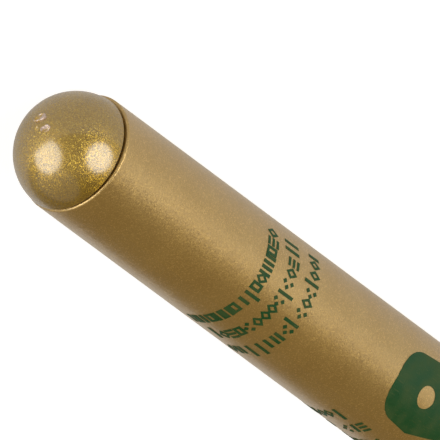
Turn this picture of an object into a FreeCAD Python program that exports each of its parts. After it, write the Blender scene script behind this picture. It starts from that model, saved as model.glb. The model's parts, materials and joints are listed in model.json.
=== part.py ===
import FreeCAD, Part
import math
import os

# A capped calligraphy marker lying on its side. Units are millimetres.
# +X runs along the marker from the domed end plug towards the crown of the cap, +Z is up and
# the pocket clip is on top. Positions along the marker are first measured from the rear rim of
# the barrel (station 0) and from the marker's own centre line; place() then moves the finished
# solids so that the origin is under the middle of the marker, on the surface it lies on.

V = FreeCAD.Vector
ORIGIN = V(0, 0, 0)
ALONG = V(1, 0, 0)
OUT = "parts"
OVERRUN = 1.0                   # how far a cutting shape runs past what it cuts
ROOT_LAP = 0.20                 # how far a rib reaches into the wall that it stands on

# ---- barrel -------------------------------------------------------------------------------
barrel_length = 88.0            # rear rim to front rim
barrel_rear_radius = 5.50       # outside, at the rear rim
barrel_draft = 0.24             # the straight stretch is this much larger in radius than the rear rim
barrel_straight_length = 16.0   # cylindrical stretch behind the cap; the rest is drafted
barrel_wall = 0.95              # at the rear rim
barrel_rim_round = 0.18         # rounding of the outer edge at the rear rim
barrel_front_round = 0.15       # rounding of the outer edge at the front rim
barrel_rib_count = 4            # ribs in the bore that hold the reservoir off the wall
barrel_rib_width = 0.80
barrel_rib_height = 0.56
barrel_rib_setback = 2.0        # from each end of the reservoir to the ribs' ends

# ---- end plug -----------------------------------------------------------------------------
plug_inset = 0.16               # the dome stands in from the barrel's rim by this much
plug_dome_cut = 0.31            # the dome ends this far short of its own equator
plug_gap = 0.17                 # open groove between the dome's edge and the barrel's rim
plug_edge_round = 0.10
plug_shoulder_lap = 0.62        # how far the shoulder reaches over the barrel's rim
plug_seat_clearance = 0.02
plug_lean = 1.0                 # degrees; the pressed-in plug sits slightly askew
plug_lean_heading = -35.0       # degrees from +Y towards +Z: the side where the groove is widest
plug_shank_length = 7.0
plug_shank_clearance = 0.20
plug_shank_wall = 0.80
plug_dome_wall = 1.20
plug_bead_station = 4.5         # middle of the sealing bead, from the rear rim
plug_bead_width = 1.2
plug_bead_bite = 0.03           # the bead is this much oversize for its press fit
plug_rib_thickness = 0.90       # crossed ribs that keep the reservoir from sliding back
plug_rib_inset = 0.50           # the ribs' ends stay this far inside the reservoir's outline

# ---- ink reservoir ------------------------------------------------------------------------
reservoir_start = 11.0          # rear end, from the rear rim
reservoir_front_gap = 2.0       # from the reservoir's front end to the front section
film_thickness = 0.12
film_clearance = 0.02
rib_clearance = 0.05            # between the film and the barrel's ribs
plug_rib_clearance = 0.20       # between the end plug's ribs and the reservoir
breather_radius = 0.45
breather_bore_radius = 0.25
breather_clearance = 0.03

# ---- front section ------------------------------------------------------------------------
spigot_length = 10.0            # part of the section inside the barrel
spigot_clearance = 0.03
spigot_wall = 0.85
spigot_bead_bite = 0.03
spigot_bead_width = 1.0
spigot_lead_in = 0.30           # chamfer at the end that goes into the barrel
spigot_lead_length = 0.60
collar_length = 9.0             # parallel part that the cap slides over
collar_step = 0.74              # from the barrel's outside down to the collar
collar_bead_height = 0.08       # snap bead on the collar
collar_bead_width = 1.2
collar_bead_station = 4.95      # middle of the snap bead, from the barrel's front rim
collar_shoulder_length = 0.5    # slope from the collar down to the nose
nose_step = 0.65                # from the collar down to the nose
nose_front_radius = 2.75
nose_length = 15.0
nose_tip_round = 0.25
socket_depth = 19.0             # depth of the nib's socket, from the front of the nose
grip_ring_count = 5             # shallow rings round the nose
grip_ring_pitch = 1.6
grip_ring_radius = 0.25
grip_ring_lift = 0.11           # the cutting ring's centre stands this far above the surface
grip_first_ring = 2.2           # from the collar to the first ring

# ---- nib ----------------------------------------------------------------------------------
nib_width = 3.50                # the width of the broadest stroke
nib_thickness = 2.40
nib_clearance = 0.05
nib_end_room = 0.20             # room in the reservoir behind the nib's feed end
nib_reach = 8.0                 # how far the nib stands out of the nose
nib_chisel_length = 5.0
nib_edge_thickness = 0.45
nib_slant = 14.0                # degrees; the writing edge leans across the nib
nib_corner_round = 0.35
nib_in_reservoir = 6.0
nib_point_length = 3.0
nib_point_thickness = 0.96      # the feed end, inside the reservoir
air_groove_width = 0.70
air_groove_depth = 0.35

# ---- cap ----------------------------------------------------------------------------------
cap_room = 3.47                 # from the inner cap's closed end to the crown's spigot
cap_mouth_gap = 0.12            # seam between the cap's mouth and the barrel
cap_step = 0.41                 # the mouth stands this far out from the barrel, without its band
cap_draft = 0.20                # the crown end is this much smaller in radius than the mouth
cap_collar_clearance = 0.05     # inside the mouth, over the collar's snap bead
cap_mouth_round = 0.30
cap_band_length = 3.0           # thicker band round the mouth
cap_band_height = 0.18
cap_band_slope = 0.4            # length over which the band runs out
cap_mouth_lead_in = 0.25        # chamfer inside the mouth
cap_mouth_lead_length = 0.4
cap_step_gap = 0.4              # from the collar to the step in the bore
cap_step_slope = 0.3
inner_cap_wall = 0.65
inner_cap_vent_gap = 0.40       # round the inner cap, between its ribs
inner_cap_end_gap = 2.5         # from the nib's writing edge to the inner cap's closed end
inner_cap_start_gap = 1.0       # from the collar to the inner cap's lip
inner_cap_lip_length = 1.2
inner_cap_lip_wall = 0.45
inner_cap_throat_length = 3.6   # the bore widens from the lip over this length
inner_cap_end_chamfer = 0.6
inner_cap_lip_clearance = 0.04
inner_cap_rib_count = 6         # ribs that centre the inner cap and leave vent channels
inner_cap_rib_width = 1.0
inner_cap_rib_rear_gap = 2.2    # from the lip to the ribs
inner_cap_rib_front_gap = 1.5   # from the ribs to the closed end
inner_cap_rib_clearance = 0.02
crown_head_length = 2.4
crown_spigot_length = 5.5
crown_spigot_wall = 0.9
crown_spigot_clearance = 0.03
crown_lead_in = 0.25            # chamfer at the end that goes into the cap
crown_lead_length = 0.5
crown_slot_setback = 2.0        # from the spigot's end to the notch for the clip's tab
crown_edge_round = 0.7
crown_floor = 1.2
crown_recess_radius = 1.6
crown_recess_depth = 0.5
vent_count = 3
vent_width = 1.1
vent_pitch_radius = 3.1
vent_sweep = 60.0               # degrees that each vent slot runs round the crown

# ---- pocket clip --------------------------------------------------------------------------
clip_width = 3.6
clip_length = 36.0
clip_thickness = 1.25
clip_gap = 1.15                 # between the arm and the cap
clip_bump_clearance = 0.12
clip_bump_length = 4.6
clip_edge_round = 0.28
clip_tab_thickness = 1.2
clip_tab_play = 0.22            # room round the tab for the clip to rock
clip_foot_length = 0.9
clip_foot_thickness = 0.7
clip_foot_clearance = 0.35      # from the foot's lower face to the crown's spigot
clip_head_gap = 0.25            # between the clip's head and the crown
clip_head_setback = 0.6         # from the crown's end face to the clip's head
clip_head_bend = 1.12           # radius of the bend where the head turns into the arm
clip_root_bend = 1.0            # radius of the bend where the tab turns into the arm
clip_bump_setback = 0.6         # from the arm's free end to the bump
clip_tip_length = 0.9           # the arm's top rounds down over about this length at its free end
clip_tip_rise = 0.9             # height of that rounding above the arm's lower face
clip_bump_start_share = 0.6     # share of the bump's depth that it has at the arm's free end

# ---- worked-out sizes and places ----------------------------------------------------------
barrel_front_radius = barrel_rear_radius + barrel_draft
barrel_bore_radius = barrel_rear_radius - barrel_wall
collar_radius = barrel_front_radius - collar_step
nose_rear_radius = collar_radius - nose_step
cap_mouth_radius = barrel_front_radius + cap_step
cap_crown_radius = cap_mouth_radius - cap_draft
cap_inner_radius = collar_radius
inner_cap_radius = cap_inner_radius - inner_cap_vent_gap - inner_cap_wall
barrel_taper_length = barrel_length - barrel_straight_length
dome_radius = barrel_rear_radius - plug_inset
dome_edge_station = -plug_gap
dome_centre_station = dome_edge_station + plug_dome_cut
dome_tip_station = dome_centre_station - dome_radius
film_outer_radius = barrel_bore_radius - barrel_rib_height - rib_clearance
film_inner_radius = film_outer_radius - film_thickness
reservoir_radius = film_inner_radius - film_clearance
plug_rib_radius = reservoir_radius - plug_rib_inset
spigot_start = barrel_length - spigot_length
reservoir_end = spigot_start - reservoir_front_gap
reservoir_length = reservoir_end - reservoir_start
collar_end = barrel_length + collar_length
nose_end = collar_end + nose_length
nib_tip = nose_end + nib_reach
nib_start = reservoir_end - nib_in_reservoir
cap_start = barrel_length + cap_mouth_gap
inner_cap_start = collar_end + inner_cap_start_gap
inner_cap_end = nib_tip + inner_cap_end_gap + inner_cap_wall
cap_end = inner_cap_end + cap_room + crown_spigot_length
cap_length = cap_end - cap_start
crown_end = cap_end + crown_head_length
axis_height = cap_mouth_radius + cap_band_height


def lerp(a, b, t):
    return a + (b - a) * t


def nose_radius(station):
    return lerp(nose_rear_radius, nose_front_radius, (station - collar_end) / nose_length)


def cap_radius(station):
    return lerp(cap_mouth_radius, cap_crown_radius, (station - cap_start) / cap_length)


def turned(*path):
    """A solid of revolution about the marker's axis. Each entry of the path is (station, radius),
    or (middle, end) with two such pairs where the outline is an arc."""
    edges = []
    first = here = V(path[0][0], 0, path[0][1])
    for step in path[1:] + (path[0],):
        if isinstance(step[0], tuple):
            middle, end = (V(s, 0, r) for s, r in step)
            edges.append(Part.Arc(here, middle, end).toShape())
        else:
            end = V(step[0], 0, step[1])
            if end.distanceToPoint(here) > 1e-7:
                edges.append(Part.LineSegment(here, end).toShape())
        here = end
    assert here.distanceToPoint(first) < 1e-7
    return Part.Face(Part.Wire(edges)).revolve(ORIGIN, ALONG, 360)


def tube(start, end, outer, inner=0.0):
    solid = Part.makeCylinder(outer, end - start, V(start, 0, 0), ALONG)
    if inner > 0:
        solid = solid.cut(Part.makeCylinder(inner, end - start, V(start, 0, 0), ALONG))
    return solid


def block(start, end, width, low, high):
    """A box from station start to end, centred in Y, from height low to high above the axis."""
    return Part.makeBox(end - start, width, high - low, V(start, -width / 2, low))


def round_copies(shape, count, first=0.0):
    """Copies of a shape spaced evenly round the marker's axis."""
    copies = []
    for i in range(count):
        copy = shape.copy()
        copy.rotate(ORIGIN, ALONG, first + 360.0 * i / count)
        copies.append(copy)
    return copies


def corner_arc(station, radius, size, along, outward):
    """A convex quarter round at a corner: returns its start point and its (middle, end) step.
    It starts size away along the axis and ends size away radially."""
    centre = (station + along * size, radius + outward * size)
    diagonal = size * math.sqrt(0.5)
    middle = (centre[0] - along * diagonal, centre[1] - outward * diagonal)
    return (centre[0], radius), (middle, (station, centre[1]))


def wedge(radius, length, station, start_angle, sweep):
    """A slice of a cylinder round the marker's axis."""
    edge = [V(station, 0, 0), V(station, radius * math.cos(start_angle), radius * math.sin(start_angle))]
    half = start_angle + sweep / 2
    end = start_angle + sweep
    middle_point = V(station, radius * math.cos(half), radius * math.sin(half))
    end_point = V(station, radius * math.cos(end), radius * math.sin(end))
    wire = Part.Wire([
        Part.LineSegment(edge[0], edge[1]).toShape(),
        Part.Arc(edge[1], middle_point, end_point).toShape(),
        Part.LineSegment(end_point, edge[0]).toShape(),
    ])
    return Part.Face(wire).extrude(V(length, 0, 0))


def make_barrel():
    r, e = barrel_rim_round, barrel_front_round
    rear_top, rear_arc = corner_arc(0, barrel_rear_radius, r, 1, -1)
    front_top, front_arc = corner_arc(barrel_length, barrel_front_radius, e, -1, -1)
    shell = turned(
        (0, barrel_bore_radius),
        rear_arc[1],
        (rear_arc[0], rear_top),
        (barrel_taper_length, barrel_front_radius),
        front_top,
        front_arc,
        (barrel_length, barrel_bore_radius),
    )
    rib = block(
        reservoir_start + barrel_rib_setback, reservoir_end - barrel_rib_setback,
        barrel_rib_width, barrel_bore_radius - barrel_rib_height, barrel_bore_radius + ROOT_LAP,
    )
    return shell.fuse(round_copies(rib, barrel_rib_count, 45)).removeSplitter()


def sphere_point(radius, angle):
    """Station and radius of a point on a sphere round the dome's centre; angle 0 is its tip."""
    return dome_centre_station - radius * math.cos(angle), radius * math.sin(angle)


def plug_cavity(grow=0.0):
    """The hollow of the end plug, or that shape enlarged."""
    sphere = dome_radius - plug_dome_wall + grow
    hollow = barrel_bore_radius - plug_shank_clearance - plug_shank_wall + grow
    end_angle = math.asin(min(hollow / sphere, 1.0))
    return turned(
        (dome_centre_station - sphere, 0),
        (sphere_point(sphere, end_angle / 2), sphere_point(sphere, end_angle)),
        (plug_shank_length, hollow),
        (plug_shank_length, 0),
    )


def make_end_plug():
    edge_radius = math.sqrt(dome_radius ** 2 - plug_dome_cut ** 2)
    edge_angle = math.acos(plug_dome_cut / dome_radius)
    shoulder = barrel_bore_radius + plug_shoulder_lap
    seat = -(shoulder * math.tan(math.radians(plug_lean)) + plug_seat_clearance)
    shank = barrel_bore_radius - plug_shank_clearance
    bead = barrel_bore_radius + plug_bead_bite
    bead_low = plug_bead_station - plug_bead_width / 2
    bead_high = plug_bead_station + plug_bead_width / 2
    solid = turned(
        (dome_tip_station, 0),
        (sphere_point(dome_radius, edge_angle / 2), (dome_edge_station, edge_radius)),
        (dome_edge_station, shoulder),
        (seat, shoulder),
        (seat, shank),
        (bead_low, shank),
        ((plug_bead_station, bead), (bead_high, shank)),
        (plug_shank_length, shank),
        (plug_shank_length, 0),
    )
    rim = [
        edge for edge in solid.Edges
        if abs(edge.BoundBox.XMin - dome_edge_station) < 1e-4
        and abs(edge.BoundBox.XMax - dome_edge_station) < 1e-4
        and edge.BoundBox.ZMax > edge_radius - 1e-3
    ]
    solid = solid.makeFillet(plug_edge_round, rim)
    solid = solid.cut(plug_cavity())
    rib_end = reservoir_start - plug_rib_clearance
    across = block(dome_tip_station, rib_end, plug_rib_thickness, -dome_radius, dome_radius)
    upright = across.copy()
    upright.rotate(ORIGIN, ALONG, 90)
    room = plug_cavity(ROOT_LAP).fuse(tube(plug_shank_length, rib_end, plug_rib_radius))
    ribs = across.fuse(upright).common(room)
    solid = solid.fuse(ribs).removeSplitter()
    heading = math.radians(plug_lean_heading)
    lean_axis = V(0, -math.sin(heading), math.cos(heading))
    solid.rotate(V(plug_bead_station, 0, 0), lean_axis, plug_lean)
    return solid


def nib_blank(start, end, grow=0.0):
    width, thickness = nib_width + 2 * grow, nib_thickness + 2 * grow
    blank = block(start, end, width, -thickness / 2, thickness / 2)
    corners = [edge for edge in blank.Edges if edge.BoundBox.XLength > (end - start) - 1e-3]
    return blank.makeFillet(nib_corner_round + grow, corners)


def make_reservoir():
    core = tube(reservoir_start, reservoir_end, reservoir_radius)
    pocket = nib_blank(nib_start - nib_end_room, reservoir_end + OVERRUN, nib_clearance)
    centre = reservoir_radius - breather_radius - breather_clearance
    reach = breather_radius + breather_clearance
    start, end = reservoir_start - OVERRUN, reservoir_end + OVERRUN
    channel = Part.makeCylinder(reach, end - start, V(start, 0, -centre), ALONG)
    mouth = block(start, end, 2 * reach, -reservoir_radius - OVERRUN, -centre)
    return core.cut([pocket, channel, mouth])


def make_reservoir_film():
    return tube(reservoir_start, reservoir_end, film_outer_radius, film_inner_radius)


def make_breather_tube():
    centre = V(reservoir_start, 0, -(reservoir_radius - breather_radius - breather_clearance))
    outside = Part.makeCylinder(breather_radius, reservoir_length, centre, ALONG)
    return outside.cut(Part.makeCylinder(breather_bore_radius, reservoir_length, centre, ALONG))


def make_front_section():
    spigot = barrel_bore_radius - spigot_clearance
    bead = barrel_bore_radius + spigot_bead_bite
    bead_middle = spigot_start + spigot_length / 2
    half_bead = spigot_bead_width / 2
    snap_middle = barrel_length + collar_bead_station
    snap_half = collar_bead_width / 2
    tip_start, tip_arc = corner_arc(nose_end, nose_front_radius, nose_tip_round, -1, -1)
    body = turned(
        (spigot_start, 0),
        (spigot_start, spigot - spigot_lead_in),
        (spigot_start + spigot_lead_length, spigot),
        (bead_middle - half_bead, spigot),
        ((bead_middle, bead), (bead_middle + half_bead, spigot)),
        (barrel_length, spigot),
        (barrel_length, collar_radius),
        (snap_middle - snap_half, collar_radius),
        ((snap_middle, collar_radius + collar_bead_height), (snap_middle + snap_half, collar_radius)),
        (collar_end - collar_shoulder_length, collar_radius),
        (collar_end, nose_rear_radius),
        tip_start,
        tip_arc,
        (nose_end, 0),
    )
    hollow_end = nose_end - socket_depth
    hollow_radius = spigot - spigot_wall
    hollow = turned(
        (spigot_start, 0),
        (spigot_start, hollow_radius),
        (hollow_end, hollow_radius),
        (hollow_end + hollow_radius / 2, nib_width / 2),
        (hollow_end + hollow_radius / 2, 0),
    )
    socket = nib_blank(hollow_end, nose_end, nib_clearance)
    groove_top = nib_thickness / 2 + air_groove_depth
    air_grooves = block(hollow_end, nose_end, air_groove_width, -groove_top, groove_top)
    rings = []
    for i in range(grip_ring_count):
        station = collar_end + grip_first_ring + grip_ring_pitch * i
        centre_radius = nose_radius(station) + grip_ring_lift
        rings.append(Part.makeTorus(centre_radius, grip_ring_radius, V(station, 0, 0), ALONG))
    return body.cut([hollow, socket, air_grooves] + rings)


def prism(points, sweep):
    """A closed outline of straight lines, swept along a vector."""
    return Part.Face(Part.makePolygon(points + points[:1])).extrude(sweep)


def make_nib():
    bar = nib_blank(nib_start, nib_tip)
    drop = math.tan(math.radians(nib_slant)) * nib_width
    far = nib_tip + OVERRUN
    side = nib_width / 2 + OVERRUN
    tall = nib_thickness / 2 + OVERRUN
    # writing edge: a slanted cut across the end
    per_width = drop / nib_width
    end_cut = prism([
        V(nib_tip + per_width * OVERRUN, -side, -tall),
        V(nib_tip - drop - per_width * OVERRUN, side, -tall),
        V(far, side, -tall),
    ], V(0, 0, 2 * tall))
    # chisel: both broad faces run in to the writing edge
    half, edge = nib_thickness / 2, nib_edge_thickness / 2
    root = nib_tip - nib_chisel_length
    slope = (half - edge) / nib_chisel_length
    chisel = prism([
        V(root, -side, half),
        V(far, -side, half - slope * (far - root)),
        V(far, -side, tall),
        V(root, -side, tall),
    ], V(0, 2 * side, 0))
    # feed end inside the reservoir
    rear = nib_start - OVERRUN
    feed = prism([
        V(rear, -side, nib_point_thickness / 2),
        V(nib_start, -side, nib_point_thickness / 2),
        V(nib_start + nib_point_length, -side, half),
        V(nib_start + nib_point_length, -side, tall),
        V(rear, -side, tall),
    ], V(0, 2 * side, 0))
    upside_down = V(0, 0, 1)
    return bar.cut([
        end_cut, chisel, chisel.mirror(ORIGIN, upside_down), feed, feed.mirror(ORIGIN, upside_down),
    ])


def clip_slot(start, play):
    """The space that the clip's tab passes through, open at the cap's crown end."""
    return block(start, cap_end + OVERRUN, clip_width + 2 * play, 0, cap_crown_radius + OVERRUN)


def tab_station():
    """Where the side of the clip's tab that faces the cap's mouth lies."""
    return cap_end - clip_tab_play - clip_tab_thickness


def make_cap_shell():
    mouth_inner = collar_radius + collar_bead_height + cap_collar_clearance
    band = cap_mouth_radius + cap_band_height
    band_end = cap_start + cap_band_length
    step = collar_end + cap_step_gap
    mouth_top, mouth_arc = corner_arc(cap_start, band, cap_mouth_round, 1, -1)
    shell = turned(
        (cap_start, mouth_inner + cap_mouth_lead_in),
        mouth_arc[1],
        (mouth_arc[0], mouth_top),
        (band_end - cap_band_slope, band),
        (band_end, cap_radius(band_end)),
        (cap_end, cap_crown_radius),
        (cap_end, cap_inner_radius),
        (step, cap_inner_radius),
        (step - cap_step_slope, mouth_inner),
        (cap_start + cap_mouth_lead_length, mouth_inner),
    )
    return shell.cut(clip_slot(tab_station() - clip_tab_play, clip_tab_play))


def make_inner_cap():
    outer = inner_cap_radius + inner_cap_wall
    lip = nose_radius(inner_cap_start) + inner_cap_lip_clearance
    cup = turned(
        (inner_cap_start, lip),
        (inner_cap_start, lip + inner_cap_lip_wall),
        (inner_cap_start + inner_cap_lip_length, outer),
        (inner_cap_end - inner_cap_end_chamfer, outer),
        (inner_cap_end, outer - inner_cap_end_chamfer),
        (inner_cap_end, 0),
        (inner_cap_end - inner_cap_wall, 0),
        (inner_cap_end - inner_cap_wall, inner_cap_radius),
        (inner_cap_start + inner_cap_throat_length, inner_cap_radius),
    )
    rib_top = cap_inner_radius - inner_cap_rib_clearance
    rib = block(
        inner_cap_start + inner_cap_rib_rear_gap, inner_cap_end - inner_cap_rib_front_gap,
        inner_cap_rib_width, outer - ROOT_LAP, rib_top + OVERRUN,
    )
    bore = tube(inner_cap_start, inner_cap_end, rib_top)
    first = 180.0 / inner_cap_rib_count
    ribs = [copy.common(bore) for copy in round_copies(rib, inner_cap_rib_count, first)]
    return cup.fuse(ribs).removeSplitter()


def make_cap_crown():
    spigot = cap_inner_radius - crown_spigot_clearance
    inner = spigot - crown_spigot_wall
    start = cap_end - crown_spigot_length
    top_start, top_arc = corner_arc(crown_end, cap_crown_radius, crown_edge_round, -1, -1)
    body = turned(
        (start, inner),
        (start, spigot - crown_lead_in),
        (start + crown_lead_length, spigot),
        (cap_end, spigot),
        (cap_end, cap_crown_radius),
        top_start,
        top_arc,
        (crown_end, 0),
        (crown_end - crown_floor, 0),
        (crown_end - crown_floor, inner),
    )
    recess = tube(crown_end - crown_recess_depth, crown_end + OVERRUN, crown_recess_radius)
    vent_start, vent_end = crown_end - crown_floor - OVERRUN, crown_end + OVERRUN
    ring = tube(
        vent_start, vent_end,
        vent_pitch_radius + vent_width / 2, vent_pitch_radius - vent_width / 2,
    )
    sweep = math.radians(vent_sweep)
    slice_ = wedge(cap_crown_radius, vent_end - vent_start, vent_start, (math.pi - sweep) / 2, sweep)
    vents = [ring.common(piece) for piece in round_copies(slice_, vent_count, 180.0 / vent_count)]
    notch = clip_slot(start + crown_slot_setback, clip_tab_play)
    notch = notch.common(tube(start, cap_end, cap_crown_radius))
    return body.cut([recess, notch] + vents)


def make_pocket_clip():
    tab_rear = tab_station()
    tab_front = tab_rear + clip_tab_thickness
    free_end = cap_end - clip_length
    head_end = crown_end - clip_head_setback
    head_low = cap_crown_radius + clip_head_gap
    arm_low_root = cap_radius(tab_rear) + clip_gap
    arm_high_root = arm_low_root + clip_thickness
    arm_low_free = cap_radius(free_end) + clip_gap
    arm_high_free = arm_low_free + clip_thickness
    bump_middle = free_end + clip_bump_length / 2 + clip_bump_setback
    bump_end = bump_middle + clip_bump_length / 2
    bump_low = cap_radius(bump_middle) + clip_bump_clearance
    foot_low = cap_inner_radius - crown_spigot_wall - clip_foot_clearance
    foot_high = foot_low + clip_foot_thickness
    bend_rise = 1 - math.sqrt(0.5)      # how far the middle of a quarter bend lies inside its corner
    head_inset = clip_head_bend * bend_rise
    root_inset = clip_root_bend * bend_rise
    outline = [
        V(tab_front, 0, foot_low),
        V(tab_front, 0, head_low),
        V(head_end, 0, head_low),
        V(head_end, 0, arm_high_root - clip_head_bend),
        (
            V(head_end - head_inset, 0, arm_high_root - head_inset),
            V(head_end - clip_head_bend, 0, arm_high_root),
        ),
        V(bump_end, 0, arm_high_free),
        (V(free_end + clip_tip_length, 0, arm_low_free + clip_tip_rise), V(free_end, 0, arm_low_free)),
        V(free_end + clip_edge_round, 0, lerp(arm_low_free, bump_low, clip_bump_start_share)),
        (V(bump_middle, 0, bump_low), V(bump_end, 0, arm_low_free)),
        V(tab_rear - clip_root_bend, 0, arm_low_root),
        (
            V(tab_rear - root_inset, 0, arm_low_root - root_inset),
            V(tab_rear, 0, arm_low_root - clip_root_bend),
        ),
        V(tab_rear, 0, foot_high),
        V(tab_rear - clip_foot_length, 0, foot_high),
        V(tab_rear - clip_foot_length, 0, foot_low),
        V(tab_front, 0, foot_low),
    ]
    edges = []
    here = outline[0]
    for step in outline[1:]:
        if isinstance(step, tuple):
            middle, end = step
            edges.append(Part.Arc(here, middle, end).toShape())
        else:
            end = step
            edges.append(Part.LineSegment(here, end).toShape())
        here = end
    clip = Part.Face(Part.Wire(edges)).extrude(V(0, clip_width, 0))
    clip.translate(V(0, -clip_width / 2, 0))
    middle_height = (arm_low_free + arm_high_free) / 2
    outer_edges = [
        edge for edge in clip.Edges
        if edge.BoundBox.YLength < 1e-4 and edge.BoundBox.ZMin > middle_height
    ]
    return clip.makeFillet(clip_edge_round, outer_edges)


def place(shape):
    """Moves a solid so that the origin is under the marker's middle, on the surface."""
    moved = shape.copy()
    moved.translate(V(-(dome_tip_station + crown_end) / 2, 0, axis_height))
    return moved


NODES = {
    "barrel": make_barrel,
    "end_plug": make_end_plug,
    "ink_reservoir": make_reservoir,
    "reservoir_film": make_reservoir_film,
    "breather_tube": make_breather_tube,
    "front_section": make_front_section,
    "nib": make_nib,
    "cap_shell": make_cap_shell,
    "inner_cap": make_inner_cap,
    "cap_crown": make_cap_crown,
    "pocket_clip": make_pocket_clip,
}


def main():
    os.makedirs(OUT, exist_ok=True)
    for name, make in NODES.items():
        shape = place(make())
        solids = shape.Solids
        if len(solids) != 1 or not shape.isValid():
            raise RuntimeError(f"{name}: {len(solids)} solids, valid {shape.isValid()}")
        solids[0].exportStep(os.path.join(OUT, name + ".step"))
        box = solids[0].BoundBox
        print(f"{name:16s} volume {solids[0].Volume:9.2f}  x {box.XMin:8.2f} {box.XMax:8.2f}"
              f"  y {box.YMin:6.2f} {box.YMax:6.2f}  z {box.ZMin:6.2f} {box.ZMax:6.2f}")


main()
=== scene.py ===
"""Finish, printed marks and studio for the capped calligraphy marker.

The moulded parts come from the frame. This script gives them their finishes, adds the pad print
on the barrel and the small moulding marks, and sets up a plain studio. Lengths are in metres.
"""
import json
import math

import bmesh
import bpy
from mathutils import Matrix, Vector
from mathutils.geometry import tessellate_polygon

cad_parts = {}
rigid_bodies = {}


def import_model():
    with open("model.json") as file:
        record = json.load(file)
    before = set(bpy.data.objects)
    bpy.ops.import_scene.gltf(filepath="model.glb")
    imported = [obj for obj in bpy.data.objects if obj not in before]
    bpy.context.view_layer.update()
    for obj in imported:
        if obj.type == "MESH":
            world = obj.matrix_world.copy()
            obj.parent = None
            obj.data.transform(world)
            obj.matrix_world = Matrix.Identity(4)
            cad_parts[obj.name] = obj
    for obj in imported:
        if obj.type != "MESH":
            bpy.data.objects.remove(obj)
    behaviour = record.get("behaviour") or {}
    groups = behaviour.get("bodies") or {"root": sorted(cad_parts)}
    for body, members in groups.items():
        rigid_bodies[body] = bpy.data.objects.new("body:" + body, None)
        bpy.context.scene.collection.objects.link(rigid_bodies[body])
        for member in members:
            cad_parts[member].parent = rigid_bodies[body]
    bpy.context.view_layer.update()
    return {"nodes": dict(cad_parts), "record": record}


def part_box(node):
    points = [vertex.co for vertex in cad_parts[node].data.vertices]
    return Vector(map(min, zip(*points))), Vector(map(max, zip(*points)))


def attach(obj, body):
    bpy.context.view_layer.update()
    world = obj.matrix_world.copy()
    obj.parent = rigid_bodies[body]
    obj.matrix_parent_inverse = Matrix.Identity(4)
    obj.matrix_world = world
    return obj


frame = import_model()

bl_info = {
    "name": "Calligraphy marker finish",
    "version": (1, 0, 0),
    "blender": (4, 5, 0),
    "location": "3D View > Sidebar > Marker",
    "description": "Finishes, pad print, moulding marks and studio for a capped calligraphy marker",
    "category": "Object",
}

MM = 0.001
BARREL_LOW, BARREL_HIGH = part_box("barrel")
RIM_X = BARREL_LOW.x                                # the barrel's rear rim
AXIS_Z = (BARREL_LOW.z + BARREL_HIGH.z) / 2         # height of the marker's centre line
FRONT_RADIUS = BARREL_HIGH.y                        # outside of the barrel's straight stretch
SUNK = -0.3                                         # underside of the print, in ink thicknesses
MARK_KINDS = 8                                      # kinds of mark in the small print
MARK_CUTS = (0.14, 0.28, 0.42)                      # where a mark can bend, in heights of a low mark
SAME_PLACE = 1e-7                                   # points nearer than this are one


# ---- settings -------------------------------------------------------------------------------
def length(name, description, default):
    return bpy.props.FloatProperty(
        name=name, description=description, default=default, unit="LENGTH", precision=5)


def angle(name, description, degrees):
    return bpy.props.FloatProperty(
        name=name, description=description, default=math.radians(degrees), subtype="ANGLE")


def colour(name, description, default):
    return bpy.props.FloatVectorProperty(
        name=name, description=description, default=default, subtype="COLOR", size=3, min=0, max=1)


def amount(name, description, default):
    return bpy.props.FloatProperty(name=name, description=description, default=default)


def count(name, description, default):
    return bpy.props.IntProperty(name=name, description=description, default=default, min=0)


class MarkerColours(bpy.types.PropertyGroup):
    """Base colours of the finishes."""
    barrel: colour("Barrel", "Satin pearl gold of the barrel", (0.495, 0.317, 0.081))
    barrel_shade: colour("Barrel shade", "Deeper tone in the barrel's gold", (0.465, 0.289, 0.066))
    flake: colour("Flake", "Gold flake in the end plug, cap and clip", (0.425, 0.250, 0.011))
    # painted glint: colour laid on a random share of flakes, as if they caught the light
    painted_flake_glint: colour("Flake glint", "Flakes that catch the light", (0.68, 0.48, 0.06))
    print_green: colour("Print", "Green of the pad print", (0.004, 0.052, 0.010))
    section: colour("Front section", "Black of the front section", (0.018, 0.018, 0.019))
    fibre: colour("Nib fibre", "Felt of the nib, stained with ink", (0.62, 0.47, 0.22))
    ink: colour("Ink", "Gold ink in the reservoir", (0.42, 0.27, 0.07))
    seal: colour("Inner cap", "Natural polyethylene", (0.80, 0.80, 0.76))


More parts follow.
